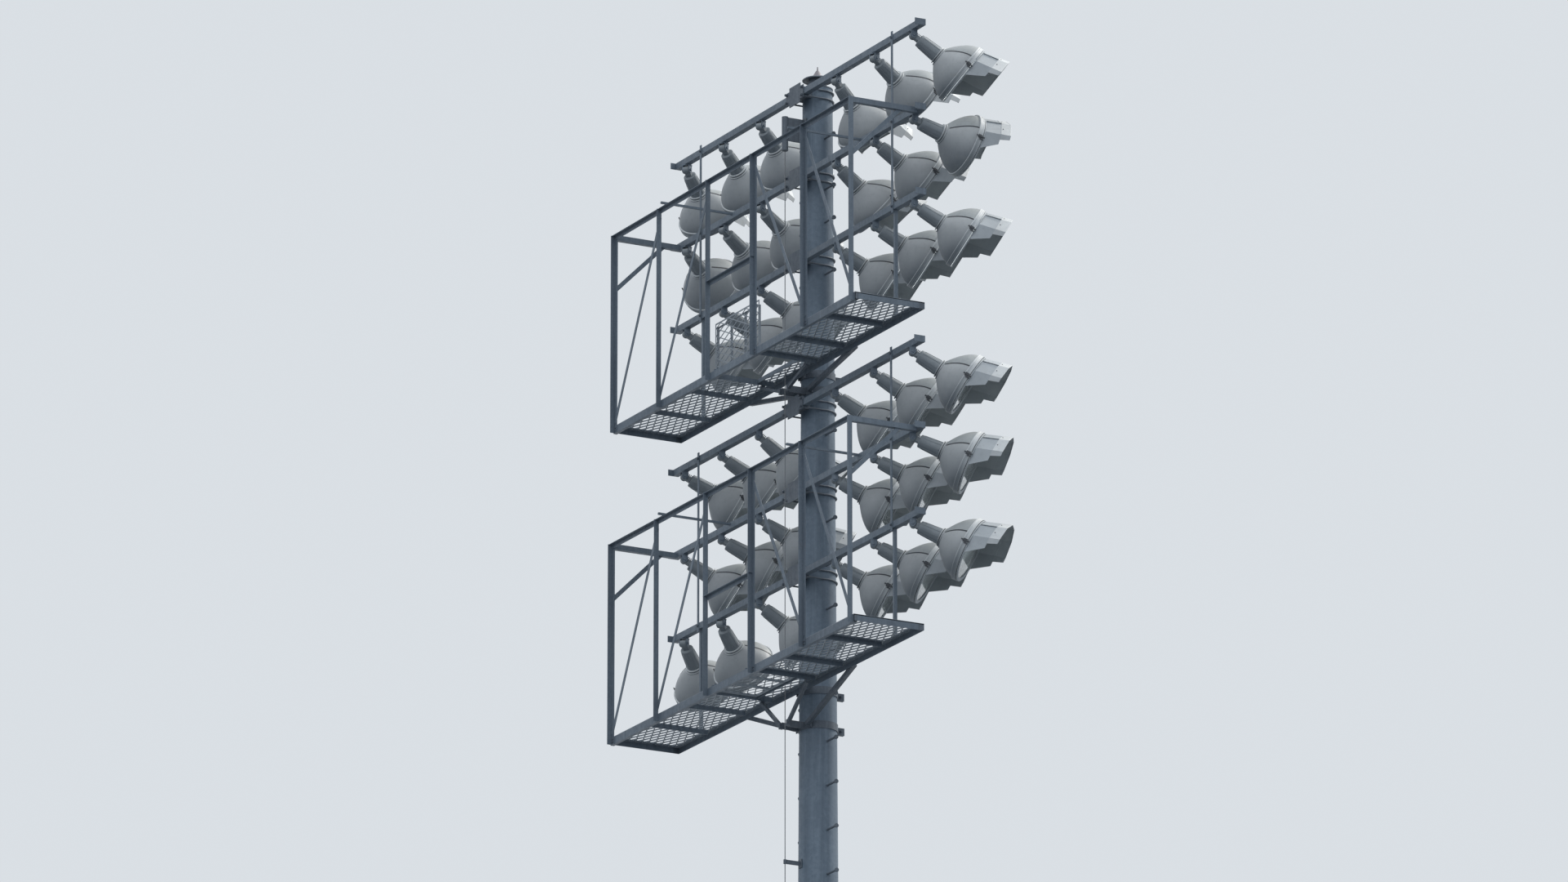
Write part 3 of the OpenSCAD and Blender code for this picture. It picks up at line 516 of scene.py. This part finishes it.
def lamp_bowl(shape):
    """Bowl of two halves with seams along its sides, bright inside, with a deep rim band."""
    steps = 26
    out = [bowl_out(k / steps) for k in range(steps + 1)]
    first = len(shape.faces)
    shape.lathe([(NECK_R2, 0.286)] + out, ON_BOWL, FINE)
    # the upper part, above the seams, is duller
    for n in range(first, len(shape.faces)):
        spot = sum((shape.points[i] for i in shape.faces[n]), Vector()) / len(shape.faces[n])
        if math.degrees(math.atan2(spot.y, abs(spot.x))) > SEAM:
            shape.looks[n] = ON_CROWN
    top, inside = RIM_Z + RIM_H, BOWL_R - BOWL_WALL
    inner = [(max(r - BOWL_WALL, 0.0), z + 0.004) for r, z in out]
    shape.lathe([(inside, top)] + inner[::-1] + [(0.0, inner[0][1])], ON_MIRROR, FINE)
    # the seam flanges take the near-black latch material, painted shadow under the flange edge
    seam = [(z, r + 0.003) for r, z in out[2:-2]] + [(z, r - 0.004) for r, z in out[-3:1:-1]]
    for angle in (SEAM, 180 - SEAM):
        shape.prism(seam, -0.006, 0.006, ON_LATCH, fin(angle))
    rim = [(inside, top), (inside, RIM_Z + 0.012), (BOWL_R - 0.002, RIM_Z)]
    rim += [(RIM_R - 0.004, RIM_Z), (RIM_R, RIM_Z + 0.004), (RIM_R, RIM_Z + 0.016)]
    rim += [(RIM_R - 0.002, RIM_Z + 0.019), (RIM_R - 0.002, top - 0.012)]
    rim += [(RIM_R, top - 0.009), (RIM_R, top)]
    shape.lathe(rim, ON_BAND, FINE, closed=True)
    # a lever latch on each side
    for side in (1, -1):
        for low, high in LATCH_BOXES:
            x0, x1 = sorted((side * low[0], side * high[0]))
            shape.box((x0, *low[1:]), (x1, *high[1:]), ON_LATCH, edge=0.0015)
    shape.lathe(HOLDER, ON_HOLDER, 32)


def hood_corner(angle, t, inset):
    """Fold of the faceted hood: angle in degrees from +X, t from root to front."""
    r = HOOD_R + HOOD_FLARE * t - inset / math.cos(math.radians(HOOD_HALF_FOLD))
    a = math.radians(angle)
    return Vector((r * math.cos(a), r * math.sin(a) + HOOD_LIFT * t, HOOD_Z + HOOD_LEN * t))


def hood_section(t, inset, low):
    """Points across the hood at t, from the low edge at +X over the top to the one at -X."""
    points = [hood_corner(a, t, inset) for a in HOOD_FOLDS]
    x, z = points[0].x, points[0].z
    return [Vector((x, low, z)), *points, Vector((-x, low, z))]


def hood_sheet(shape, start, end, lows, inset, look):
    """Folded sheet of the hood from start to end of its length; its inside is a darker material,
    painted shade.
    """
    rows, count = 5, len(HOOD_FOLDS) + 2
    outer, inner = [], []
    for k in range(rows + 1):
        t = start + (end - start) * k / rows
        low = lows[0] + (lows[1] - lows[0]) * k / rows
        outer.append(hood_section(t, inset, low))
        inner.append(hood_section(t, inset + HOOD_WALL, low))
    points = [p for row in outer + inner for p in row]
    half = (rows + 1) * count
    skin, lining = [], []
    for r in range(rows):
        for c in range(count - 1):
            i = r * count + c
            skin.append([i, i + 1, i + 1 + count, i + count])
            lining.append([half + i, half + i + count, half + i + 1 + count, half + i + 1])
    for r in range(rows):
        i, j = r * count, r * count + count - 1
        skin.append([i, i + count, half + i + count, half + i])
        skin.append([j, half + j, half + j + count, j + count])
    for c in range(count - 1):
        i, j = c, rows * count + c
        skin.append([i, half + i, half + i + 1, i + 1])
        skin.append([j, j + 1, half + j + 1, half + j])
    shape.add(points, skin + lining, look)
    # the inside faces take the darker material, painted shade
    shape.looks[-len(lining):] = [ON_INSIDE_SHADE] * len(lining)
    return outer


SEAM_FACES = [[0, 1, 3, 2], [4, 6, 7, 5], [0, 4, 5, 1], [2, 3, 7, 6], [0, 2, 6, 4], [1, 5, 7, 3]]
LIP_FACES = SEAM_FACES[2:] + SEAM_FACES[:2]


def lamp_hood(shape):
    """Glass frame and the hood: long rear sides, then a brighter band across the front."""
    ring = BOWL_R - BOWL_WALL - 0.016
    top = BEZEL_Z + BEZEL_T
    frame_ring = [(ring, BEZEL_Z), (BEZEL_R, BEZEL_Z), (BEZEL_R, top - 0.002)]
    frame_ring += [(BEZEL_R - 0.003, top), (ring + 0.004, top), (ring, top - 0.004)]
    shape.lathe(frame_ring, ON_HOOD, FINE, closed=True)
    split = HOOD_REAR / HOOD_LEN
    hood_sheet(shape, 0.0, split, REAR_LOW, 0.0025, ON_HOOD)
    front = hood_sheet(shape, split - 0.01, 1.0, FRONT_LOW, 0.0, ON_BAND)
    # standing seam along the outer folds, in the darker casing material as painted shadow of the
    # fold
    for a in (45, 135):
        rows = [hood_corner(a, t, -0.0005) for t in (0.02, split - 0.01)]
        side = Vector((math.cos(math.radians(a)), math.sin(math.radians(a)), 0))
        across = PLUS_Z.cross(side) * 0.005
        seam = [p + side * h + across * w for p in rows for h in (-0.004, 0.0035) for w in (-1, 1)]
        shape.add(seam, SEAM_FACES, ON_CASING)
    # rolled front edge
    edge = front[-1]
    for ends in zip(edge, edge[1:]):
        lip = []
        for p in ends:
            inward = Vector((-p.x, HOOD_LIFT - p.y, 0)).normalized()
            for depth in (0.0, 0.008):
                for dz in (-0.008, 0.0):
                    lip.append(p + inward * depth + PLUS_Z * dz)
        shape.add(lip, LIP_FACES, ON_BAND)
    # knob on the top sheet and four rivet heads through the band
    crown = hood_corner(90, split - 0.06, 0.0)
    rise = Matrix.Rotation(-math.pi / 2, 4, "X")
    knob = [(0.0, -0.016), (0.009, -0.016), (0.009, 0.006), (0.006, 0.009), (0.0, 0.009)]
    shape.lathe(knob, ON_LATCH, 20, Matrix.Translation(crown) @ rise)
    for a in (30, 60, 120, 150):
        spot = hood_corner(a, split + 0.06, 0.011)
        out = Vector((math.cos(math.radians(a)), math.sin(math.radians(a)), 0))
        rivet = [(0.005, 0.0), (0.005, 0.0035), (0.003, 0.005), (0, 0.005)]
        shape.lathe(rivet, ON_LATCH, 12, toward(spot, out))


def lamp_mesh():
    shape = Shape()
    lamp_casing(shape)
    lamp_bowl(shape)
    lamp_hood(shape)
    looks = [BOWL, CASING, BAND, MIRROR, LATCH, CASING, HOOD_INSIDE_SHADE, HOOD, CROWN]
    return shape.mesh("floodlight_body", looks)


def glass_mesh():
    r = RIM_R - 0.008
    shape = Shape()
    top = GLASS_Z + GLASS_T
    shape.lathe([(0, GLASS_Z), (r, GLASS_Z), (r, top), (0, top)], 0, FINE)
    return shape.mesh("floodlight_glass", [GLASS])


def bulb_mesh():
    """Discharge lamp: an envelope with the arc tube's stem inside."""
    shape = Shape()
    shape.lathe(ENVELOPE, 0, 32)
    shape.lathe(ARC_TUBE, 1, 20)
    return shape.mesh("floodlight_bulb", [QUARTZ, BAND])


LAMP, PANE, BULB = lamp_mesh(), glass_mesh(), bulb_mesh()
for t, tier in enumerate(TIERS):
    for r in range(3):
        for i in range(6):
            mark = f"{tier}_{r + 1}{i + 1}"
            body = f"floodlight_{mark}"
            turn, aim = TURNS[3 * t + r][i], AIMS[3 * t + r][i]
            place = Matrix.Translation(joint_at[body + "_tilt"])
            place = place @ Matrix.Rotation(math.radians(-turn), 4, "Z")
            place = place @ Matrix.Rotation(math.radians(90 + aim), 4, "X")
            piece(f"lamp_{mark}", LAMP, body, place, [body])
            piece(f"glass_{mark}", PANE, body, place)
            piece(f"bulb_{mark}", BULB, body, place)


# Fasteners: nuts, bolt heads and washers where the frame's pieces meet

ARM_HALF, PIVOT_DROP = 0.030, 0.080
ANGLE_T, ANGLE_W, CHANNEL_W, EDGE_H, MESH_DEEP = 0.006, 0.0605, 0.035, 0.070, 0.007
POLE_H, POLE_TOP_R, TAPER, SLIP = 30.0, 0.140, 0.00575, 0.0063
SLEEVES = (20.0, 10.0)
PLATE = 0.0083  # a plate of 8 mm and its seat
FRAME_RISE = 0.0203  # from the frame's upper level to the top of its box
POSTS = ((0.440, 1), (1.430, 1), (2.375, -1))  # a post's edge and the way its leg goes
BAND_DROPS = {"upper": (0.012, 0.170), "lower": (0.012, 0.340)}
ANCHORS, ANCHOR_CIRCLE, ANCHOR_NUT = 12, 0.420, 0.0315
DOOR_SCREWS, DOOR_HALF = (0.72, 1.05, 1.38), 0.092
CABLE_Y, CLIPS, CLIP_LOW, CLIP_STEP = 0.344, 3, 1.86, 0.09


def pole_r(z):
    """Radius of the pole's outer face, with the two sleeves' steps."""
    return POLE_TOP_R + (POLE_H - z) * TAPER - SLIP * sum(z < end for end in SLEEVES)


def arm_centre(tier, row):
    pivot = joint_at[f"floodlight_{tier}_{row + 1}1_tilt"]
    return pivot.y, pivot.z + PIVOT_DROP


def clamp_nuts(tier):
    """Two nuts on each end of the round bars that hold the crossarms to the pole."""
    shape = Shape()
    for row in range(3):
        y, z = arm_centre(tier, row)
        plate = y + ARM_HALF + PLATE
        for dz in (-0.040, 0.040):
            x = pole_r(z + dz - 0.008) + PLATE
            for side in (-1, 1):
                shape.bolt(toward((side * x, plate, z + dz), PLUS_Y), 0.0135)
                lock = toward((side * x, plate + 0.0130, z + dz), PLUS_Y, 0.3)
                shape.bolt(lock, 0.0125, washer=False)
    return shape


def hanger_bolts(tier):
    shape = Shape()
    for row in range(3):
        y, z = arm_centre(tier, row)
        for x in (-1.9, 1.9):
            shape.bolt(toward((x, y + ARM_HALF + PLATE, z), PLUS_Y, x), 0.012, 0.004)
    return shape


def guard_bolts(tier):
    """Bolt heads on the feet of the posts."""
    shape = Shape()
    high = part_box(f"platform_frame_{tier}")[1]
    y = high.y + 0.0053
    frame_level = high.z - FRAME_RISE
    for side in (-1, 1):
        for x, leg in POSTS:
            for dx in (0.018, 0.034):
                for dz in (0.022, 0.050):
                    place = (side * (x + leg * dx), y, frame_level - dz)
                    shape.bolt(toward(place, PLUS_Y, x), 0.0075, washer=False)
    return shape


def band_nuts(tier):
    """Nuts on the bolts that draw the bands' split lugs together."""
    shape = Shape()
    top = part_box(f"platform_frame_{tier}")[1].z - FRAME_RISE
    for drop in BAND_DROPS[tier]:
        z = top - drop - 0.035
        y = -(pole_r(z - 0.035) + 0.0503)
        for side in (-1, 1):
            shape.bolt(toward((side * 0.016, y, z), PLUS_X * side, 0.4), 0.0145)
    return shape


def anchor_bolts():
    """Studs of the foundation with their nuts on the base plate."""
    shape = Shape()
    stud = [(0, 0.001), (0.018, 0.001), (0.018, 0.118), (0.015, 0.122), (0, 0.122)]
    for k in range(ANCHORS):
        a = math.radians(k * 360 / ANCHORS)
        place = at(ANCHOR_CIRCLE * math.cos(a), ANCHOR_CIRCLE * math.sin(a), 0.0)
        shape.lathe(stud, 0, 24, place)
        shape.bolt(place @ at(0, 0, 0.040) @ Matrix.Rotation(a, 4, "Z"), ANCHOR_NUT)
        lock = place @ at(0, 0, 0.0702) @ Matrix.Rotation(a + 0.4, 4, "Z")
        shape.bolt(lock, ANCHOR_NUT, washer=False)
    return shape


def door_screws():
    shape = Shape()
    for z in DOOR_SCREWS:
        for side in (-1, 1):
            r = pole_r(z) + 0.005
            a = math.asin(DOOR_HALF / r) * side
            normal = Vector((math.sin(a), -math.cos(a), 0))
            shape.bolt(toward(normal * r + Vector((0, 0, z)), normal), 0.009)
    return shape


def cable_clips():
    """Saddle clips that hold the cable's turned-back end above the tensioner."""
    shape = Shape()
    y = CABLE_Y
    for k in range(CLIPS):
        z = CLIP_LOW + CLIP_STEP * k
        shape.box((-0.011, y - 0.009, z), (0.011, y + 0.006, z + 0.014), 0, edge=0.003)
        for side in (-1, 1):
            nut = toward((side * 0.007, y + 0.006, z + 0.007), PLUS_Y)
            shape.bolt(nut, 0.0038, washer=False)
    end = [(0, 1.84), (0.003, 1.84), (0.003, 2.12), (0, 2.12)]
    shape.lathe(end, 0, 10, at(0.0072, y, 0))
    return shape


def corner_plates(tier):
    """Plates that close the four corners of the platform's frame."""
    shape = Shape()
    low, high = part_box(f"platform_frame_{tier}")
    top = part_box(f"platform_floor_{tier}")[0].z
    edges = (
        (low.y + ANGLE_T, low.y + ANGLE_W, ANGLE_W),
        (high.y - CHANNEL_W, high.y, EDGE_H),
    )
    for side in (-1, 1):
        x0, x1 = sorted((side * (high.x - ANGLE_T), side * high.x))
        for y0, y1, drop in edges:
            shape.box((x0, y0, top - drop), (x1, y1, top - ANGLE_T), 0)
    return shape


def cable_gusset():
    """Web between the two arms of the safety line's top bracket."""
    shape = Shape()
    shape.box((-0.005, pole_r(29.5) + 0.006, 29.495), (0.005, 0.318, 29.635), 0)
    return shape


def cap_shape():
    """Cap on the pole's end: plate, neck, wide brim, steep cone and spike."""
    shape = Shape()
    place = at(0, 0, POLE_H)
    plate_r = POLE_TOP_R + 0.004
    base = [(0.0, 0.0), (plate_r, 0.0), (plate_r, 0.010), (0.088, 0.010), (0.084, 0.110)]
    shape.lathe(base, 0, FINE, place)
    brim = [(0.084, 0.098), (0.128, 0.100), (0.143, 0.094), (0.144, 0.100)]
    brim += [(0.128, 0.112), (0.060, 0.128)]
    shape.lathe(brim, 0, FINE, place)
    cone = [(0.058, 0.120), (0.058, 0.134), (0.050, 0.137), (0.014, 0.196)]
    cone += [(0.007, 0.200), (0.005, 0.232), (0, 0.238)]
    shape.lathe(cone, 1, 40, place)
    return shape


def raised_floor(tier):
    """The floor's mesh as raised expanded metal, whose strands stand on edge."""
    name = f"platform_floor_{tier}"
    data = nodes[name].data.copy()
    to_world = nodes[name].matrix_world
    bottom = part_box(name)[0].z
    for v in data.vertices:
        v.co = to_world @ v.co
        if v.co.z < bottom + 0.002:
            v.co.z -= MESH_DEEP
    piece(f"raised_mesh_{tier}", data, "mast", None, [name])


for tier in TIERS:
    raised_floor(tier)
    for label, make in (
        ("clamp_nuts", clamp_nuts),
        ("hanger_bolts", hanger_bolts),
        ("guard_bolts", guard_bolts),
        ("band_nuts", band_nuts),
        ("corner_plates", corner_plates),
    ):
        piece(f"{label}_{tier}", make(tier).mesh(label, [DARK_ZINC]), "mast")
piece("cable_gusset", cable_gusset().mesh("cable_gusset", [DARK_ZINC]), "mast")
CAP = cap_shape().mesh("cap_dress", [DARK_ZINC, CAP_CONE])
piece("cap_dress", CAP, "mast", None, ["pole_cap"])
piece("anchor_bolts", anchor_bolts().mesh("anchor_bolts", [DARK_ZINC]), "mast")
piece("door_screws", door_screws().mesh("door_screws", [DARK_ZINC]), "mast")
piece("cable_clips", cable_clips().mesh("cable_clips", [DARK_ZINC]), "mast")


# Stage

FLOOR_HALF = 14
FLOOR_DIM, FLOOR_SEEN = (0.20, 0.22, 0.22), (0.80, 0.80, 0.79)
SKY = (0.70, 0.74, 0.78)
LIGHT_BELOW, LIGHT_ABOVE = (0.10, 0.13, 0.17), (0.86, 0.93, 1.0)
GRADE_FROM, GRADE_TO = -0.25, 0.70


def seen_directly(tree):
    """1 for rays that show the background: from the camera, off a shiny face or through glass."""
    path = tree.nodes.new("ShaderNodeLightPath")
    total = path.outputs["Is Camera Ray"]
    for kind in ("Is Glossy Ray", "Is Transmission Ray"):
        either = tree.nodes.new("ShaderNodeMath")
        either.operation = "MAXIMUM"
        tree.links.new(total, either.inputs[0])
        tree.links.new(path.outputs[kind], either.inputs[1])
        total = either.outputs[0]
    return total


def floor_material():
    """Pale where it is seen, dim as a source of light, so that undersides stay in shade."""
    look = Look("pale_floor", roughness=0.9, specular=0.2)
    look.colour(FLOOR_DIM)
    look.blend(seen_directly(look.tree), FLOOR_SEEN)
    return look.finish()


floor_shape = Shape()
corners = [(x * FLOOR_HALF, y * FLOOR_HALF, 0) for x, y in ((-1, -1), (1, -1), (1, 1), (-1, 1))]
floor_shape.add(corners, [[0, 1, 2, 3]], 0)
floor = bpy.data.objects.new("floor", floor_shape.mesh("floor", [floor_material()]))
bpy.context.scene.collection.objects.link(floor)

world = bpy.data.worlds.new("studio")
bpy.context.scene.world = world
world.use_nodes = True
tree = world.node_tree
tree.nodes.clear()
out = tree.nodes.new("ShaderNodeOutputWorld")
choose = tree.nodes.new("ShaderNodeMixShader")
lighting = tree.nodes.new("ShaderNodeBackground")
shown = tree.nodes.new("ShaderNodeBackground")
lighting.inputs["Strength"].default_value = 1.0
# bright above, dim below, so that undersides fall into shade
where = tree.nodes.new("ShaderNodeTexCoord")
split = tree.nodes.new("ShaderNodeSeparateXYZ")
height = tree.nodes.new("ShaderNodeMapRange")
height.inputs["From Min"].default_value = GRADE_FROM
height.inputs["From Max"].default_value = GRADE_TO
shade = tree.nodes.new("ShaderNodeMix")
shade.data_type = "RGBA"
shade.inputs["A"].default_value = (*LIGHT_BELOW, 1)
shade.inputs["B"].default_value = (*LIGHT_ABOVE, 1)
tree.links.new(where.outputs["Generated"], split.inputs[0])
tree.links.new(split.outputs["Z"], height.inputs["Value"])
tree.links.new(height.outputs["Result"], shade.inputs["Factor"])
tree.links.new(shade.outputs["Result"], lighting.inputs["Color"])
shown.inputs["Color"].default_value = (*SKY, 1)
shown.inputs["Strength"].default_value = 1.0
tree.links.new(seen_directly(tree), choose.inputs["Fac"])
tree.links.new(lighting.outputs[0], choose.inputs[1])
tree.links.new(shown.outputs[0], choose.inputs[2])
tree.links.new(choose.outputs[0], out.inputs["Surface"])


def sun(name, direction, strength, colour, angle):
    lamp = bpy.data.lights.new(name, "SUN")
    lamp.energy = strength
    lamp.color = colour
    lamp.angle = math.radians(angle)
    thing = bpy.data.objects.new(name, lamp)
    thing.rotation_mode = "QUATERNION"
    thing.rotation_quaternion = Vector(direction).to_track_quat("-Z", "Y")
    bpy.context.scene.collection.objects.link(thing)


sun("key", (-0.05, 0.85, -0.80), 2.0, (1.0, 0.97, 0.92), 12)
sun("fill", (0.8, -0.6, -0.3), 0.3, (0.85, 0.92, 1.0), 40)

bpy.context.scene.view_settings.view_transform = "Standard"
